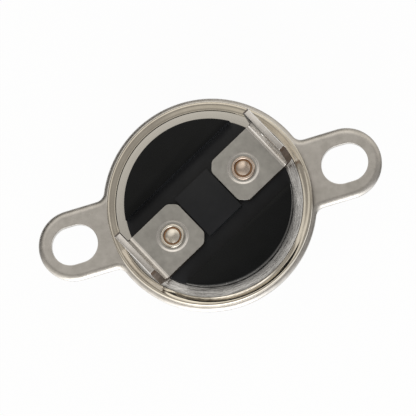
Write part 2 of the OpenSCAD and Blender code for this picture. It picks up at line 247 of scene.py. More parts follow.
def slice_mesh(bm, places):
    """Cuts the faces along planes across +X, so that the sheet can bend there."""
    for s in places:
        bmesh.ops.bisect_plane(bm, geom=bm.verts[:] + bm.edges[:] + bm.faces[:], dist=ON_PLANE,
                               plane_co=(s, 0, 0), plane_no=(1, 0, 0))


def mark(bm, index, chosen):
    """Gives another of the piece's materials to the chosen faces among those that still have its first."""
    bm.normal_update()
    for face in bm.faces:
        if face.material_index == 0 and chosen(face):
            face.material_index = index


def turned(bm, angle):
    """Turns the mesh about Z."""
    bmesh.ops.rotate(bm, cent=(0, 0, 0), matrix=Matrix.Rotation(angle, 3, "Z"), verts=bm.verts)


def new_object(bm, name):
    """A new object of the scene. The mesh that it is made from is used up."""
    mesh = bpy.data.meshes.new(name)
    bm.to_mesh(mesh)
    bm.free()
    obj = bpy.data.objects.new(name, mesh)
    bpy.context.scene.collection.objects.link(obj)
    return obj


def finished(bm, name, smooth_angle=35.0):
    """The object in metres, shaded smooth except over edges sharper than the angle."""
    bmesh.ops.remove_doubles(bm, verts=bm.verts, dist=WELD)
    bmesh.ops.recalc_face_normals(bm, faces=bm.faces)
    bmesh.ops.scale(bm, vec=(MM, MM, MM), verts=bm.verts)
    obj = new_object(bm, name)
    obj.data.shade_smooth()
    obj.data.set_sharp_from_angle(angle=math.radians(smooth_angle))
    return obj


def smoothed(points, steps=6):
    """A closed profile of (r, z, rounding) with its corners rounded, as (r, z) pairs."""
    made = []
    for i, (x, y, radius) in enumerate(points):
        if radius <= 0:
            made.append((x, y))
            continue
        p = Vector((x, y))
        before = (Vector(points[i - 1][:2]) - p).normalized()
        after = (Vector(points[(i + 1) % len(points)][:2]) - p).normalized()
        half = before.angle(after) / 2
        centre = p + (before + after).normalized() * (radius / math.sin(half))
        start = p + before * (radius / math.tan(half)) - centre
        end = p + after * (radius / math.tan(half)) - centre
        a0 = math.atan2(start.y, start.x)
        turn = (math.atan2(end.y, end.x) - a0 + math.pi) % (2 * math.pi) - math.pi
        for k in range(steps + 1):
            a = a0 + turn * k / steps
            made.append((centre.x + radius * math.cos(a), centre.y + radius * math.sin(a)))
    return made


def lathe(profile, steps=256):
    """A closed profile of (r, z) turned about Z. Points on the axis become one vertex each."""
    bm = bmesh.new()
    angles = [2 * math.pi * k / steps for k in range(steps)]
    rings = []
    for r, z in profile:
        places = angles if r > NO_LENGTH else angles[:1]
        rings.append([bm.verts.new((r * math.cos(a), r * math.sin(a), z)) for a in places])
    for a, b in zip(rings, rings[1:] + rings[:1]):
        for k in range(steps if len(a) + len(b) > 2 else 0):
            n = (k + 1) % steps
            if len(a) == 1:
                bm.faces.new((a[0], b[n], b[k]))
            elif len(b) == 1:
                bm.faces.new((a[k], a[n], b[0]))
            else:
                bm.faces.new((a[k], a[n], b[n], b[k]))
    bmesh.ops.recalc_face_normals(bm, faces=bm.faces)
    return bm


def box(low, high):
    """A block between two corners."""
    bm = bmesh.new()
    bmesh.ops.create_cube(bm, size=1)
    for v in bm.verts:
        v.co = [high[k] if v.co[k] > 0 else low[k] for k in range(3)]
    return bm


def cut(obj, cutter):
    """Takes a cutter away from a temporary object by an exact boolean. The cutter is used up."""
    tool = new_object(cutter, "cutter") if isinstance(cutter, bmesh.types.BMesh) else cutter
    modifier = obj.modifiers.new("cut", "BOOLEAN")
    modifier.operation = "DIFFERENCE"
    modifier.solver = "EXACT"
    modifier.object = tool
    made = bpy.data.meshes.new_from_object(obj.evaluated_get(bpy.context.evaluated_depsgraph_get()))
    obj.modifiers.clear()
    obj.data = made
    bpy.data.objects.remove(tool)


# The flange. Its outer edge rolls over an arc, given by radius and angle in degrees, and its holes are crisp
ROLL_R, ROLL_ANGLE = 1.0, 46
LOWER_ROUND, HOLE_ROUND = 0.05, 0.06


def flange_arcs():
    """The flange's outline: two round ears, filleted into a round middle."""
    v = EAR_R + EAR_FILLET
    u = math.sqrt((FLANGE_R + EAR_FILLET) ** 2 - v * v)
    lean = math.degrees(math.atan2(v, u))
    ear_u = EAR_END - EAR_R
    return [
        arc(ear_u, 0, EAR_R, -90, 90, 40),
        arc(u, v, EAR_FILLET, -90, lean - 180, 10),
        arc(0, 0, FLANGE_R, lean, 180 - lean, 96),
        arc(-u, v, EAR_FILLET, -lean, -90, 10),
        arc(-ear_u, 0, EAR_R, 90, 270, 40),
        arc(-u, -v, EAR_FILLET, 90, lean, 10),
        arc(0, 0, FLANGE_R, 180 + lean, 360 - lean, 96),
        arc(u, -v, EAR_FILLET, 180 - lean, 90, 10),
    ]


def slot_arcs(side):
    """The outline of the slot in one ear."""
    return [
        arc(side * SLOT_AT + SLOT_HALF, 0, SLOT_R, -90, 90, 32),
        arc(side * SLOT_AT - SLOT_HALF, 0, SLOT_R, 90, 270, 32),
    ]


def make_flange():
    """The stamped sheet with its two slots and its round hole."""
    bm = bmesh.new()
    sheet_edge = rolled_edge(FLANGE_Z, SEAT_Z, LOWER_ROUND, ROLL_R, ROLL_ANGLE)
    hole_edge = edge_profile(FLANGE_Z, SEAT_Z, LOWER_ROUND, HOLE_ROUND)
    lows, highs = [], []
    for arcs, pairs, hole in (
        (flange_arcs(), sheet_edge, False),
        (slot_arcs(1), hole_edge, True),
        (slot_arcs(-1), hole_edge, True),
        (circle(0, 0, FLANGE_HOLE_R, 160), hole_edge, True),
    ):
        low, high = wall(bm, arcs, pairs, hole)
        lows.append(low)
        highs.append(high)
    cap(bm, lows, up=False)
    cap(bm, highs, up=True)
    bmesh.ops.translate(bm, vec=(*FLANGE_AT, 0), verts=bm.verts)
    return finished(bm, "flange_sheet")


# The cup, with its bead and its rolled rim, whose foot is darkened with painted shade where it meets the
# flange
FOOT_Z = SEAT_Z + 0.55
# Radii between which the rim's upper face falls from its crown to its lip
SLOPE_OUT_R, SLOPE_IN_R = RIM_R - 0.3, LIP_R + 0.12
# Where the crease in that face starts and ends, as angles about Z in degrees
CREASE_FROM, CREASE_TO = -126, -36
# Radius of the crease, how far it drifts outwards, and its depth
CREASE_R, CREASE_DRIFT, CREASE_DEPTH = 10.98, 0.5, 0.29
# Widths of its outer and its inner flank, and the share of its length over which it starts
CREASE_OUT_W, CREASE_IN_W, CREASE_START = 0.42, 0.3, 0.1


def rim_slope(lip_top, steps=20):
    """Corners of the rim's upper face, which falls softly from the crown to the lip."""
    shares = [i / steps for i in range(steps + 1)]
    return [(SLOPE_OUT_R + (SLOPE_IN_R - SLOPE_OUT_R) * t,
             CROWN_Z + (lip_top - CROWN_Z) * (3 - 2 * t) * t * t, 0) for t in shares]


def crease(place):
    """Depth of the crease that the rolling tool left along one side of the rim's upper face."""
    along = (math.degrees(math.atan2(place.y, place.x)) - CREASE_FROM) / (CREASE_TO - CREASE_FROM)
    if not -CREASE_START < along < 1:
        return 0
    start = min(1, (along + CREASE_START) / CREASE_START)
    end = 1 - max(2 * along - 1, 0) ** 2
    aside = place.to_2d().length - CREASE_R - CREASE_DRIFT * along
    if aside > 0:
        shape = max(0, 1 - aside / CREASE_OUT_W)
    else:
        shape = math.exp(-(aside / CREASE_IN_W) ** 2)
    return CREASE_DEPTH * (start * end) * shape


def on_foot(face):
    """Whether a face lies low on the outside of the rim, where it meets the flange."""
    middle = face.calc_center_median()
    return SEAT_Z < middle.z < FOOT_Z and middle.to_2d().length > RIM_R - NEAR


def make_cup():
    """The drawn sheet from its sensing face up to its lip. A corner is radius, height and rounding."""
    lip_top = LIP_Z + CUP_T
    profile = smoothed([
        (0, 0, 0),
        (NECK_R, 0, 0.8),
        (NECK_R, BEAD_TOP_Z - BEAD_W, 0.15),
        (BEAD_R, BEAD_TOP_Z - BEAD_W / 2, 0.2),
        (BEAD_R, BEAD_TOP_Z, 0.15),
        (NECK_R, BEAD_TOP_Z, 0),
        (NECK_R, SEAT_Z, 0),
        (RIM_R, SEAT_Z, 0.34),
        (RIM_R, FOOT_Z, 0),
        (RIM_R, CROWN_Z, 0.26),
        *rim_slope(lip_top),
        (LIP_R, lip_top, 0.1),
        (LIP_R, LIP_Z, 0.16),
        (RIM_R - CUP_T, LIP_Z, 0.03),
        (RIM_R - CUP_T, SHOULDER_Z, 0.03),
        (NECK_IN_R, SHOULDER_Z, 0.03),
        (NECK_IN_R, LEDGE_Z, 0.05),
        (LEDGE_R, LEDGE_Z, 0.05),
        (LEDGE_R, CUP_T, 0.2),
        (0, CUP_T, 0),
    ], steps=8)
    bm = lathe(profile, steps=288)
    for v in bm.verts:
        if v.co.z > LIP_Z + NEAR:
            v.co.z -= crease(v.co)
    # The rim's foot takes a dark material, which is painted shade where the rim meets the flange
    mark(bm, 1, on_foot)
    return finished(bm, "cup_shell")


# The washer, whose top falls as a very low arc from its bevel beside the case to the rim's lip
ARC_H, INNER_BEVEL = 0.04, 0.03
# Play towards the case, the lip and the flat faces, and a small step where the arc starts and ends
CASE_PLAY, LIP_PLAY, FACE_PLAY, STEP = 0.03, 0.02, 0.002, 0.005


def make_washer(steps=16, bevel_steps=5):
    """The bright ring between the case and the rim."""
    inner_r = CASE_R + CASE_PLAY
    top_r = inner_r + INNER_BEVEL
    top_z = WASHER_TOP_Z - STEP
    width = LIP_R - LIP_PLAY - top_r
    arc_r = (width ** 2 + ARC_H ** 2) / (2 * ARC_H)
    start = math.asin(1 - ARC_H / arc_r)
    profile = [
        (inner_r, WASHER_Z + FACE_PLAY),
        (SHOULDER_R, WASHER_Z + FACE_PLAY),
        (SHOULDER_R, LIP_Z - FACE_PLAY),
        (top_r + width + STEP, LIP_Z - FACE_PLAY),
    ]
    for i in range(steps + 1):
        a = start + (math.pi / 2 - start) * i / steps
        profile.append((top_r + arc_r * math.cos(a), top_z - arc_r * (1 - math.sin(a))))
    for i in range(1, bevel_steps + 1):
        a = math.pi / 2 * i / bevel_steps
        profile.append((top_r - INNER_BEVEL * math.sin(a), top_z - INNER_BEVEL * (1 - math.cos(a))))
    return finished(lathe(profile), "bright_washer")


# The moulded case, cut as in the part's source. Its sharp upper edges are bevelled. Angles are in degrees
CASE_BEVEL, FLAT_ANGLE, SHARP_ANGLE = 0.1, 0.5, 35


def in_channel(face):
    """Whether a face of the case lies in its channel or on the block there, which are duller and painted
    lighter: painted light that lifts the shade in the recess.
    """
    middle = face.calc_center_median()
    deep = CHANNEL_Z - NEAR < middle.z < CASE_Z - 2 * NEAR
    return deep and abs(middle.y) < CHANNEL_W / 2 + CLOSE


def case_body():
    """The case as it is turned, before it is cut."""
    return new_object(lathe(smoothed([
        (0, SPIGOT_Z, 0),
        (SPIGOT_R, SPIGOT_Z, 0.1),
        (SPIGOT_R, SHOULDER_Z, 0),
        (SHOULDER_R, SHOULDER_Z, 0.05),
        (SHOULDER_R, WASHER_Z, 0.05),
        (CASE_R, WASHER_Z, 0),
        (CASE_R, CASE_Z, 0.15),
        (0, CASE_Z, 0),
    ]), steps=224), "case_moulding")


def post(radius, low, high, steps):
    """A plain cylinder about Z."""
    return lathe([(0, low), (radius, low), (radius, high), (0, high)], steps)


def make_case():
    """The moulding with its channel, block, chamber, lands and rivet holes."""
    body = case_body()
    far = SHOULDER_R + PAST
    low, high = (-far, -CHANNEL_W / 2, CHANNEL_Z), (far, CHANNEL_W / 2, CASE_Z + PAST)
    channel = new_object(box(low, high), "channel")
    cut(channel, box((-BLOCK_L / 2, -BLOCK_W / 2, CHANNEL_Z - PAST), (BLOCK_L / 2, BLOCK_W / 2, BLOCK_Z)))
    cut(body, channel)
    chamber = new_object(post(CHAMBER_R, SPIGOT_Z - PAST, ROOF_Z, 96), "chamber")
    for side in (-1, 1):
        ends = sorted((side * LAND_IN, side * (CHAMBER_R + PAST)))
        cut(chamber, box((ends[0], -LAND_W / 2, LAND_Z), (ends[1], LAND_W / 2, ROOF_Z + PAST)))
    cut(body, chamber)
    for side in (-1, 1):
        hole = post(SHANK_R, LAND_Z - PAST, CASE_Z, 48)
        bmesh.ops.translate(hole, vec=(side * RIVET_AT, 0, 0), verts=hole.verts)
        cut(body, hole)
    bm = bmesh.new()
    bm.from_mesh(body.data)
    bpy.data.objects.remove(body)
    bmesh.ops.remove_doubles(bm, verts=bm.verts, dist=2 * WELD)
    bmesh.ops.dissolve_limit(bm, angle_limit=math.radians(FLAT_ANGLE), verts=bm.verts, edges=bm.edges)
    sharp = [e for e in bm.edges
             if len(e.link_faces) == 2 and e.calc_face_angle(0) > math.radians(SHARP_ANGLE)
             and min(v.co.z for v in e.verts) > CHANNEL_Z - NEAR]
    bmesh.ops.bevel(bm, geom=sharp, offset=CASE_BEVEL, segments=3, profile=0.5, affect="EDGES",
                    clamp_overlap=True)
    # The channel and block take a duller phenolic whose lighter colour is painted light
    mark(bm, 1, in_channel)
    turned(bm, TERMINAL_ANGLE)
    return finished(bm, "case_moulding", smooth_angle=30.0)


# The terminals, folded from a flat blank
BEND_LENGTH = math.pi / 2 * (BEND_R + TAB_T / 2)
BLADE_LENGTH = TIP_Z - PLATE_TOP_Z - BEND_R
BLANK_END = BEND_AT + BEND_LENGTH + BLADE_LENGTH
# Roundings of the blank's corners: at the plate's cut corners, where the tip narrows and at its end
CUT_ROUND, NECK_ROUND, END_ROUND = 0.75, 0.3, 0.08
# Rounding of the long edges, and how much of a side's normal lies along the width
EDGE_ROUND, SIDE_NORMAL = 0.03, 0.8
# The coined ring round the rivet: its depth, how far inside COIN_R its slope starts, and the slope's width
COIN_DIP, COIN_IN, COIN_SLOPE = 0.05, 0.2, 0.26


def blank_arcs():
    """The outline of the flat blank: its length along +X and its width along Y."""
    half = TAB_W / 2
    upper = [
        (BLANK_END, half - TIP_CUT, END_ROUND),
        (BLANK_END - TIP_L, half, NECK_ROUND),
        (PLATE_IN + PLATE_CUT, half, CUT_ROUND),
        (PLATE_IN, half - PLATE_CUT, CUT_ROUND),
    ]
    return rounded([(x, -y, radius) for x, y, radius in upper[::-1]] + upper)


def folded(co):
    """Where a point of the blank, as (length, width, height over its underside), lies after the fold."""
    s, w, h = co
    turn = min(max((s - BEND_AT) / BEND_LENGTH, 0), 1) * math.pi / 2
    past = max(s - BEND_AT - BEND_LENGTH, 0)
    taper = max(past - BLADE_LENGTH + TIP_L, 0) / TIP_L
    h = TAB_T / 2 + (h - TAB_T / 2) * (1 - taper * (1 - TIP_T / TAB_T))
    radius = BEND_R + TAB_T - h
    u = min(s, BEND_AT) + radius * math.sin(turn)
    return Vector((u, w, PLATE_TOP_Z + BEND_R - radius * math.cos(turn) + past))


def coin_edge(steps=8):
    """Pairs of inset and height down the soft slope of the coined ring."""
    pairs = []
    for i in range(steps + 1):
        drop = COIN_DIP * (1 + math.cos(math.pi * i / steps)) / 2
        pairs.append((-COIN_IN + COIN_SLOPE * i / steps, TAB_T - drop))
    return pairs


def on_side(face):
    """Whether a face of the blank is one of its long cut sides, whose dark colour is painted shade."""
    return abs(face.normal.y) > SIDE_NORMAL


def on_coin(face):
    """Whether a face of the blank lies in the coined ring round the rivet."""
    return math.dist(face.calc_center_median()[:2], (RIVET_AT, 0)) < COIN_R + NEAR


def on_blade(face):
    """Whether a face of the blank lies past its plate, on the bend or the blade."""
    return face.calc_center_median().x > BEND_AT


def make_terminal(name, side, steps=12):
    """One folded terminal: its blank is flat until its faces are marked, and is then folded and turned."""
    bm = bmesh.new()
    edge = edge_profile(0, TAB_T, EDGE_ROUND, EDGE_ROUND, steps=3, margin=0.04)
    low, high = wall(bm, blank_arcs(), edge)
    detent_low, detent_high = wall(bm, circle(BLANK_END - DETENT_AT, 0, DETENT_R, 40), edge, hole=True)
    # The long cut sides take a near-black material, which is painted shade
    mark(bm, 1, on_side)
    coin_low, coin_high = wall(bm, circle(RIVET_AT, 0, COIN_R, 64), coin_edge(), hole=True)
    # The coined ring takes the lighter polished material, whose lighter colour is a painted highlight
    mark(bm, 2, on_coin)
    cap(bm, [low, detent_low], up=False)
    cap(bm, [high, detent_high, coin_high], up=True)
    cap(bm, [coin_low], up=True)
    slice_mesh(bm, [BEND_AT + BEND_LENGTH * i / steps for i in range(steps + 1)] + [BLANK_END - TIP_L])
    # The bend and blade take it too: a smoother polish, and a lighter colour that is a painted highlight
    mark(bm, 2, on_blade)
    for v in bm.verts:
        v.co = folded(v.co)
    turned(bm, TERMINAL_ANGLE + (math.pi if side < 0 else 0))
    return finished(bm, name, smooth_angle=40.0)


# The rivets. Each outer end has a flared ring, a groove in it and a low dome in the middle
RING_H, RING_W, RING_FLARE, RING_LEAN, RING_ROUND = 0.28, 0.34, 0.04, 0.06, 0.14
GROOVE_DIP, GROOVE_W = 0.02, 0.03
DOME_R, DOME_H, DOME_RISE = 0.83, 0.18, 0.13
GROOVE_Z = PLATE_TOP_Z - GROOVE_DIP
DOME_Z = GROOVE_Z + DOME_RISE
# How far inside the rivet's edge and over the dome's edge the groove's dark colour ends: tarnish, and painted
# shade that also dims the dome's lowest edge
TARNISH_SHADE_IN, TARNISH_SHADE_H = 0.3, 0.03


def in_groove(face):
    """Whether a face of a rivet lies between its ring and its dome."""
    middle = face.calc_center_median()
    low = middle.z < DOME_Z + TARNISH_SHADE_H
    return low and DOME_R - GROOVE_W < middle.to_2d().length < RIVET_R - TARNISH_SHADE_IN


def make_rivet(name, side, inside_z, steps=12):
    """A rivet whose inner head lies under inside_z. A corner is radius, height and rounding."""
    base = PLATE_TOP_Z - COIN_DIP
    ring_top, ring_in = PLATE_TOP_Z + RING_H, RIVET_R - RING_W
    arc_r = (DOME_R ** 2 + DOME_H ** 2) / (2 * DOME_H)
    reach = math.asin(DOME_R / arc_r)
    profile = smoothed([
        (0, inside_z - HEAD_H, 0),
        (HEAD_R, inside_z - HEAD_H, 0.25),
        (HEAD_R, inside_z, 0),
        (SHANK_R, inside_z, 0),
        (SHANK_R, base, 0),
        (RIVET_R - RING_FLARE, base, 0.05),
        (RIVET_R, ring_top, RING_ROUND),
        (ring_in, ring_top, RING_ROUND),
        (ring_in - RING_LEAN, GROOVE_Z, 0.06),
        (DOME_R + GROOVE_W, GROOVE_Z, 0.02),
    ])
    for i in range(steps + 1):
        a = reach * (1 - i / steps)
        profile.append((arc_r * math.sin(a), DOME_Z + DOME_H - arc_r * (1 - math.cos(a))))
    bm = lathe(profile, steps=96)
    # The groove and the dome's lowest edge take a dark brown: tarnish and painted shade
    mark(bm, 1, in_groove)
    bmesh.ops.translate(bm, vec=LINE * (side * RIVET_AT), verts=bm.verts)
    return finished(bm, name, smooth_angle=40.0)


# The leaf spring, which stays flat: where a bend from its land would end before the pin, which nothing uses,
# and the little room that the strip leaves the pin
BENDS_TO, PIN_ROOM = -1.4, 0.02


def make_spring(steps=24):
    """The flat strip under the left rivet, with its round tip and its rivet hole."""
    bm = bmesh.new()
    half, corner = ARM_W / 2, 0.3
    tip_u = ARM_TIP - half
    arcs = [
        arc(tip_u, 0, half, -90, 90, 24),
        arc(-ROOT_AT + corner, half - corner, corner, 90, 180, 4),
        arc(-ROOT_AT + corner, -half + corner, corner, 180, 270, 4),
    ]
    edge = edge_profile(ARM_Z + PIN_ROOM, LAND_Z, EDGE_ROUND, EDGE_ROUND, steps=3)
    low, high = wall(bm, arcs, edge)
    hole_low, hole_high = wall(bm, circle(-RIVET_AT, 0, SHANK_R, 32), edge, hole=True)
    cap(bm, [low, hole_low], up=False)
    cap(bm, [high, hole_high], up=True)
    slice_mesh(bm, [-LAND_IN + (LAND_IN + tip_u) * i / steps for i in range(steps + 1)])
    turned(bm, TERMINAL_ANGLE)
    return finished(bm, "leaf_spring")


flange = make_flange()
cup = make_cup()
washer = make_washer()
case = make_case()
left_tab = make_terminal("left_tab", -1)
right_tab = make_terminal("right_tab", 1)
left_head = make_rivet("left_rivet_turned", -1, ARM_Z)
right_head = make_rivet("right_rivet_turned", 1, LAND_Z - BAR_T)
spring = make_spring()

for piece, node, slot in (
    (flange, "mounting_flange", "flange_steel"),
    (cup, "sensing_cup", "cup_steel"),
    (washer, "rim_washer", "washer_metal"),
    (case, "switch_case", "case_phenolic"),
    (left_tab, "left_terminal", "terminal_metal"),
    (right_tab, "right_terminal", "terminal_metal"),
    (left_head, "left_rivet", "rivet_metal"),
    (right_head, "right_rivet", "rivet_metal"),
):
    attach(piece, "housing")
    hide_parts(node)

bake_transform(spring)
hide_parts("contact_arm")


def towards(azimuth, tilt):
    """A direction from its angle to +X and its angle to the zenith, in degrees."""
    a, t = math.radians(azimuth), math.radians(tilt)
    return Vector((math.sin(t) * math.cos(a), math.sin(t) * math.sin(a), math.cos(t)))


# Shader nodes. Nearly all of a noise lies between these two values, and it has this detail
NOISE_LOW, NOISE_HIGH, NOISE_DETAIL = 0.3, 0.7, 4.0
# Radius in metres at which a streak's arc is measured. The smaller it is, the longer the streaks are
STREAK_R = 0.0006


def new_node(nodes, kind, operation):
    """A maths or vector maths node."""
    made = nodes.new("ShaderNode" + kind)
    made.operation = operation
    return made


def remap(nodes, links, value, ranges, interpolation="LINEAR"):
    """Maps a value from one range to another: the lowest and highest of the first, then of the second."""
    made = nodes.new("ShaderNodeMapRange")
    made.interpolation_type = interpolation
    for socket, limit in zip(("From Min", "From Max", "To Min", "To Max"), ranges):
        made.inputs[socket].default_value = limit
    links.new(value, made.inputs["Value"])
    return made.outputs["Result"]


def around_axis(nodes, links, place):
    """Turns a place into its distance from Z and a short arc length, so that a noise streaks around Z."""
    apart = nodes.new("ShaderNodeSeparateXYZ")
    flat = nodes.new("ShaderNodeCombineXYZ")
    made = nodes.new("ShaderNodeCombineXYZ")
    distance = new_node(nodes, "VectorMath", "LENGTH")
    angle = new_node(nodes, "Math", "ARCTAN2")
    arc_length = new_node(nodes, "Math", "MULTIPLY")
    arc_length.inputs[1].default_value = STREAK_R
    links.new(place, apart.inputs["Vector"])
    links.new(apart.outputs["X"], flat.inputs["X"])
    links.new(apart.outputs["Y"], flat.inputs["Y"])
    links.new(apart.outputs["Y"], angle.inputs[0])
    links.new(apart.outputs["X"], angle.inputs[1])
    links.new(flat.outputs["Vector"], distance.inputs[0])
    links.new(angle.outputs[0], arc_length.inputs[0])
    links.new(distance.outputs["Value"], made.inputs["X"])
    links.new(arc_length.outputs[0], made.inputs["Y"])
    return made.outputs["Vector"]


def noise(nodes, links, scale, roughness, stretch=(1, 1, 1)):
    """A noise over the piece's own coordinates. A stretch of None streaks it around Z."""
    coords = nodes.new("ShaderNodeTexCoord")
    mapping = nodes.new("ShaderNodeMapping")
    mapping.inputs["Scale"].default_value = stretch or (1, 1, 1)
    place = coords.outputs["Object"] if stretch else around_axis(nodes, links, coords.outputs["Object"])
    links.new(place, mapping.inputs["Vector"])
    made = nodes.new("ShaderNodeTexNoise")
    made.inputs["Scale"].default_value = scale
    made.inputs["Detail"].default_value = NOISE_DETAIL
    made.inputs["Roughness"].default_value = roughness
    links.new(mapping.outputs["Vector"], made.inputs["Vector"])
    return made.outputs["Fac"]


def ramp(nodes, links, factor, stops):
    """A colour ramp through (position, colour) stops, in rising order."""
    made = nodes.new("ShaderNodeValToRGB")
    elements = made.color_ramp.elements
    while len(elements) > 1:
        elements.remove(elements[-1])
    elements[0].position, elements[0].color = stops[0][0], (*stops[0][1], 1)
    for position, colour in stops[1:]:
        elements.new(position).color = (*colour, 1)
    links.new(factor, made.inputs["Fac"])
    return made.outputs["Color"]


# Materials. Every one varies softly in colour and finely in roughness and height
def surface(name, metallic, colours, rough, grain, height, stretch=(1, 1, 1), mottle=350.0, ior=1.5):
    """A material with two colours that it drifts between, two roughnesses, and a grain of a given scale
    and of a height in millimetres."""
    made = bpy.data.materials.new(name)
    made.use_nodes = True
    nodes, links = made.node_tree.nodes, made.node_tree.links
    shader = nodes["Principled BSDF"]
    shader.inputs["Metallic"].default_value = metallic
    shader.inputs["IOR"].default_value = ior
    fine = noise(nodes, links, grain, 0.65, stretch)
    soft = noise(nodes, links, mottle, 0.6) if stretch else fine
    stops = ((NOISE_LOW, colours[0]), (NOISE_HIGH, colours[1]))
    links.new(ramp(nodes, links, soft, stops), shader.inputs["Base Color"])
    links.new(remap(nodes, links, fine, (NOISE_LOW, NOISE_HIGH, *rough)), shader.inputs["Roughness"])
    bump = nodes.new("ShaderNodeBump")
    bump.inputs["Distance"].default_value = height * MM
    links.new(fine, bump.inputs["Height"])
    links.new(bump.outputs["Normal"], shader.inputs["Normal"])
    return made


satin = surface(
    "satin_sheet", 1, ((0.49, 0.47, 0.44), (0.62, 0.595, 0.565)), (0.26, 0.40), 5000, 0.003, mottle=800)
drawn = surface(
    "drawn_cup", 1, ((0.62, 0.57, 0.49), (0.74, 0.69, 0.60)), (0.12, 0.20), 4000, 0.001)
# A dark brown that is painted shade at the foot of the rim
painted_shade_foot = surface(
    "rim_foot_painted_shade", 1, ((0.06, 0.042, 0.03), (0.12, 0.088, 0.068)), (0.3, 0.45), 4000, 0.002)
# The washer's streaks run up to white, and on one side they are a painted highlight
bright = surface(
    "ring_streaks_painted_highlight", 1, ((0.30, 0.295, 0.29), (1.0, 1.0, 1.0)), (0.12, 0.26), 4000, 0.08, stretch=None)
plated = surface(
    "plated_tab", 1, ((0.37, 0.362, 0.342), (0.455, 0.446, 0.422)), (0.28, 0.42), 5500, 0.003, mottle=1200)
# A lighter copy of the terminal plating: smoother polish, and a painted highlight in its colour
polish_painted_highlight = surface(
    "blade_polish_painted_highlight", 1, ((0.64, 0.615, 0.59), (0.76, 0.735, 0.71)), (0.18, 0.28), 5500, 0.002, mottle=1200)
# Near-black metal on the terminals' long sides: painted shade over a rough grain like sheared metal
side_painted_shade = surface(
    "cut_side_painted_shade", 1, ((0.07, 0.05, 0.035), (0.15, 0.11, 0.085)), (0.42, 0.6), 6000, 0.006, (1, 1, 0.2))
copper = surface(
    "coppery_rivet", 1, ((0.58, 0.475, 0.40), (0.70, 0.60, 0.52)), (0.22, 0.34), 5000, 0.0004)
pale = surface(
    "pale_rivet", 1, ((0.68, 0.63, 0.555), (0.80, 0.755, 0.68)), (0.20, 0.32), 5000, 0.0004)
# Dark brown for the rivets' grooves: tarnish and painted shade
tarnish_and_shade = surface(
    "groove_tarnish_and_painted_shade", 1, ((0.34, 0.20, 0.11), (0.50, 0.31, 0.18)), (0.35, 0.5), 5000, 0.002)
strip = surface(
    "spring_strip", 1, ((0.74, 0.58, 0.33), (0.82, 0.67, 0.42)), (0.2, 0.32), 6000, 0.002)
silver = surface(
    "silver_button", 1, ((0.80, 0.79, 0.77), (0.88, 0.87, 0.85)), (0.18, 0.3), 6000, 0.002)
rolled = surface(
    "rolled_bimetal", 1, ((0.62, 0.60, 0.56), (0.70, 0.68, 0.65)), (0.25, 0.38), 4000, 0.003, (1, 12, 1))
black = surface(
    "black_phenolic", 0, ((0.0025, 0.003, 0.0034), (0.004, 0.0046, 0.0052)), (0.22, 0.34), 4000, 0.002,
    ior=1.26)
# A duller phenolic, lighter than the case's black: painted light in the channel and on the block
dull_painted_light = surface(
    "phenolic_dull_painted_light", 0, ((0.013, 0.014, 0.016), (0.019, 0.020, 0.0225)), (0.3, 0.42), 4000, 0.002, ior=1.27)
brown = surface(
    "brown_phenolic", 0, ((0.16, 0.09, 0.055), (0.24, 0.15, 0.10)), (0.42, 0.6), 4000, 0.004)
fired = surface(
    "fired_ceramic", 0, ((0.80, 0.77, 0.70), (0.88, 0.86, 0.80)), (0.4, 0.55), 6000, 0.003)


def add_sheen(made, power=3.0, roughness=0.08):
    """A gloss that comes up only where the moulding is seen at a grazing angle, as on its side wall."""
    nodes, links = made.node_tree.nodes, made.node_tree.links
    shader = nodes["Principled BSDF"]
    facing = nodes.new("ShaderNodeLayerWeight")
    steep = new_node(nodes, "Math", "POWER")
    steep.inputs[1].default_value = power
    links.new(facing.outputs["Facing"], steep.inputs[0])
    links.new(steep.outputs[0], shader.inputs["Coat Weight"])
    shader.inputs["Coat Roughness"].default_value = roughness


def highlight_streaks_one_side(made, azimuth, plain, reach=0.004, least=0.08):
    """Lets the streaks of the ring come up on the side of one azimuth, and fade to a plain colour on the
    other: the bright streaks on that side are a painted highlight. They change over a distance of twice the
    reach, in metres."""
    nodes, links = made.node_tree.nodes, made.node_tree.links
    shader = nodes["Principled BSDF"]
    coords = nodes.new("ShaderNodeTexCoord")
    across = new_node(nodes, "VectorMath", "DOT_PRODUCT")
    across.inputs[1].default_value = towards(azimuth, 90)
    links.new(coords.outputs["Object"], across.inputs[0])
    share = remap(nodes, links, across.outputs["Value"], (-reach, reach, least, 1.0), "SMOOTHSTEP")
    links.new(share, nodes["Bump"].inputs["Strength"])
    mix = nodes.new("ShaderNodeMix")
    mix.data_type = "RGBA"
    mix.inputs["A"].default_value = (*plain, 1)
    links.new(share, mix.inputs["Factor"])
    links.new(shader.inputs["Base Color"].links[0].from_socket, mix.inputs["B"])
    links.new(mix.outputs["Result"], shader.inputs["Base Color"])


add_sheen(black)
# The ring's bright streaks on the side towards azimuth -61 are a painted highlight
highlight_streaks_one_side(bright, -61, (0.50, 0.48, 0.44))

# The materials of each piece, in the order of the marks on its faces
for obj, *finishes in (
    (flange, satin),
    (cup, drawn, painted_shade_foot),
    (washer, bright),
    (case, black, dull_painted_light),
    (left_tab, plated, side_painted_shade, polish_painted_highlight),
    (right_tab, plated, side_painted_shade, polish_painted_highlight),
    (left_head, pale, tarnish_and_shade),
    (right_head, copper, tarnish_and_shade),
    (spring, strip),
    (nodes_of["moving_contact"], silver),
    (nodes_of["fixed_contact"], silver),
    (nodes_of["fixed_contact_bar"], strip),
    (nodes_of["bimetal_disc"], rolled),
    (nodes_of["disc_retainer"], brown),
    (nodes_of["transfer_pin"], fired),
):
    # Clearing also takes the marks off the faces, so only the CAD nodes, which have a material, are cleared
    if obj.data.materials:
        obj.data.materials.clear()
    for finish in finishes:
        obj.data.materials.append(finish)


# The floor, just under the cup so that the two faces never flicker: its height and half its width in metres
FLOOR_Z, FLOOR_HALF = -0.00005, 3.0
# Share of the floor's look that is plain white for the rays that see it. The rest takes the object's shadow
GLOW_SHARE = 0.96


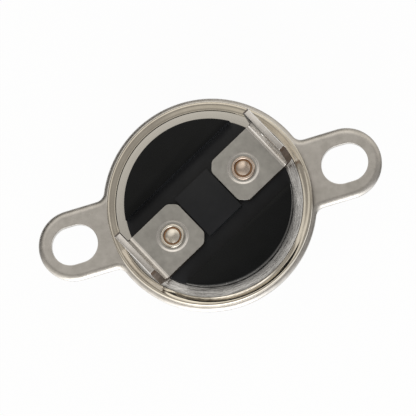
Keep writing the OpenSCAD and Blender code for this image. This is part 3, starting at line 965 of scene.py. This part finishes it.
def make_floor():
    """A plain pale floor that keeps the object's shadow."""
    bm = bmesh.new()
    bmesh.ops.create_grid(bm, x_segments=1, y_segments=1, size=FLOOR_HALF)
    floor = new_object(bm, "floor")
    made = bpy.data.materials.new("pale_floor")
    made.use_nodes = True
    nodes, links = made.node_tree.nodes, made.node_tree.links
    shader = nodes["Principled BSDF"]
    shader.inputs["Base Color"].default_value = (0.9, 0.9, 0.9, 1)
    shader.inputs["Roughness"].default_value = 0.9
    glow = nodes.new("ShaderNodeEmission")
    path = nodes.new("ShaderNodeLightPath")
    seen = path.outputs["Is Camera Ray"]
    for ray in ("Is Glossy Ray", "Is Transmission Ray"):
        either = new_node(nodes, "Math", "MAXIMUM")
        links.new(seen, either.inputs[0])
        links.new(path.outputs[ray], either.inputs[1])
        seen = either.outputs[0]
    scaled = new_node(nodes, "Math", "MULTIPLY")
    scaled.inputs[1].default_value = GLOW_SHARE
    links.new(seen, scaled.inputs[0])
    mix = nodes.new("ShaderNodeMixShader")
    links.new(scaled.outputs[0], mix.inputs["Fac"])
    links.new(shader.outputs["BSDF"], mix.inputs[1])
    links.new(glow.outputs["Emission"], mix.inputs[2])
    links.new(mix.outputs["Shader"], nodes["Material Output"].inputs["Surface"])
    floor.data.materials.append(made)
    floor.location.z = FLOOR_Z


# The room's soft patches of light: direction, the angles from it at which a patch ends and is full, colour
PATCHES = (
    (towards(0, 0), 130, 0, (0.33, 0.315, 0.295)),
    (towards(105, 36), 34, 10, (0.36, 0.34, 0.30)),
    (towards(27, 62), 38, 8, (0.42, 0.40, 0.36)),
    (towards(-153, 62), 38, 8, (0.42, 0.40, 0.36)),
    (towards(-96, 92), 58, 32, (1.4, 1.4, 1.4)),
    (towards(113, 80), 46, 16, (-0.15, -0.145, -0.14)),
    (towards(-50, 45), 45, 10, (0.10, 0.10, 0.10)),
    (towards(68, 56), 38, 12, (0.46, 0.44, 0.40)),
    (towards(-150, 88), 36, 16, (0.9, 0.9, 0.9)),
    (towards(-125, 38), 30, 8, (0.32, 0.31, 0.28)),
)


def make_world():
    """A grey room with broad soft patches of light. They add up, so the patch with a negative colour is a
    darker part of the room."""
    world = bpy.data.worlds.new("room")
    bpy.context.scene.world = world
    world.use_nodes = True
    nodes, links = world.node_tree.nodes, world.node_tree.links
    coords = nodes.new("ShaderNodeTexCoord")
    total = None
    for direction, ends, full, colour in PATCHES:
        dot = new_node(nodes, "VectorMath", "DOT_PRODUCT")
        dot.inputs[1].default_value = direction
        links.new(coords.outputs["Generated"], dot.inputs[0])
        limits = (math.cos(math.radians(ends)), math.cos(math.radians(full)), 0, 1)
        patch = new_node(nodes, "VectorMath", "SCALE")
        patch.inputs[0].default_value = colour
        links.new(remap(nodes, links, dot.outputs["Value"], limits, "SMOOTHSTEP"), patch.inputs["Scale"])
        if total is None:
            total = patch.outputs["Vector"]
            continue
        added = new_node(nodes, "VectorMath", "ADD")
        links.new(total, added.inputs[0])
        links.new(patch.outputs["Vector"], added.inputs[1])
        total = added.outputs["Vector"]
    links.new(total, nodes["Background"].inputs["Color"])


def lamp(name, place, size, power):
    """A round lamp that points at the object. Its size is in metres and its power in watts."""
    data = bpy.data.lights.new(name, "AREA")
    data.shape = "DISK"
    data.size = size
    data.energy = power
    obj = bpy.data.objects.new(name, data)
    obj.location = place
    obj.rotation_euler = (-Vector(place)).to_track_quat("-Z", "Y").to_euler()
    bpy.context.scene.collection.objects.link(obj)


make_floor()
make_world()
lamp("key", (-0.14, -0.55, 0.26), 0.50, 1.0)
lamp("fill", (-0.10, 0.36, 0.60), 0.60, 0.25)


# The camera, from the photo: where the flange's middle lies in it and how it is turned, in degrees
TILT, AZIMUTH, ROLL = 11.0, -66.9, -15.9
DISTANCE, FOCAL_PX, IMAGE_PX = 0.40, 3448.0, 416.0
AIM_PX = (209.2, 204.2)


def make_camera():
    """The camera looks at the middle of the flange's upper face, from DISTANCE metres."""
    aim = Vector((*FLANGE_AT, SEAT_Z)) * MM
    roll = math.radians(ROLL)
    back = towards(AZIMUTH, TILT)
    right = Vector((-math.sin(roll), math.cos(roll), 0)).cross(back).normalized()
    up = back.cross(right)
    metres_per_px = DISTANCE / FOCAL_PX
    place = aim + back * DISTANCE
    place -= right * ((AIM_PX[0] - IMAGE_PX / 2) * metres_per_px)
    place += up * ((AIM_PX[1] - IMAGE_PX / 2) * metres_per_px)
    data = bpy.data.cameras.new("camera")
    data.sensor_width = 36.0
    data.lens = FOCAL_PX / IMAGE_PX * data.sensor_width
    data.clip_start, data.clip_end = 0.01, 10.0
    camera = bpy.data.objects.new("camera", data)
    camera.matrix_world = Matrix((
        (right.x, up.x, back.x, place.x),
        (right.y, up.y, back.y, place.y),
        (right.z, up.z, back.z, place.z),
        (0, 0, 0, 1),
    ))
    bpy.context.scene.collection.objects.link(camera)
    bpy.context.scene.camera = camera


make_camera()
bpy.context.scene.view_settings.view_transform = "Standard"
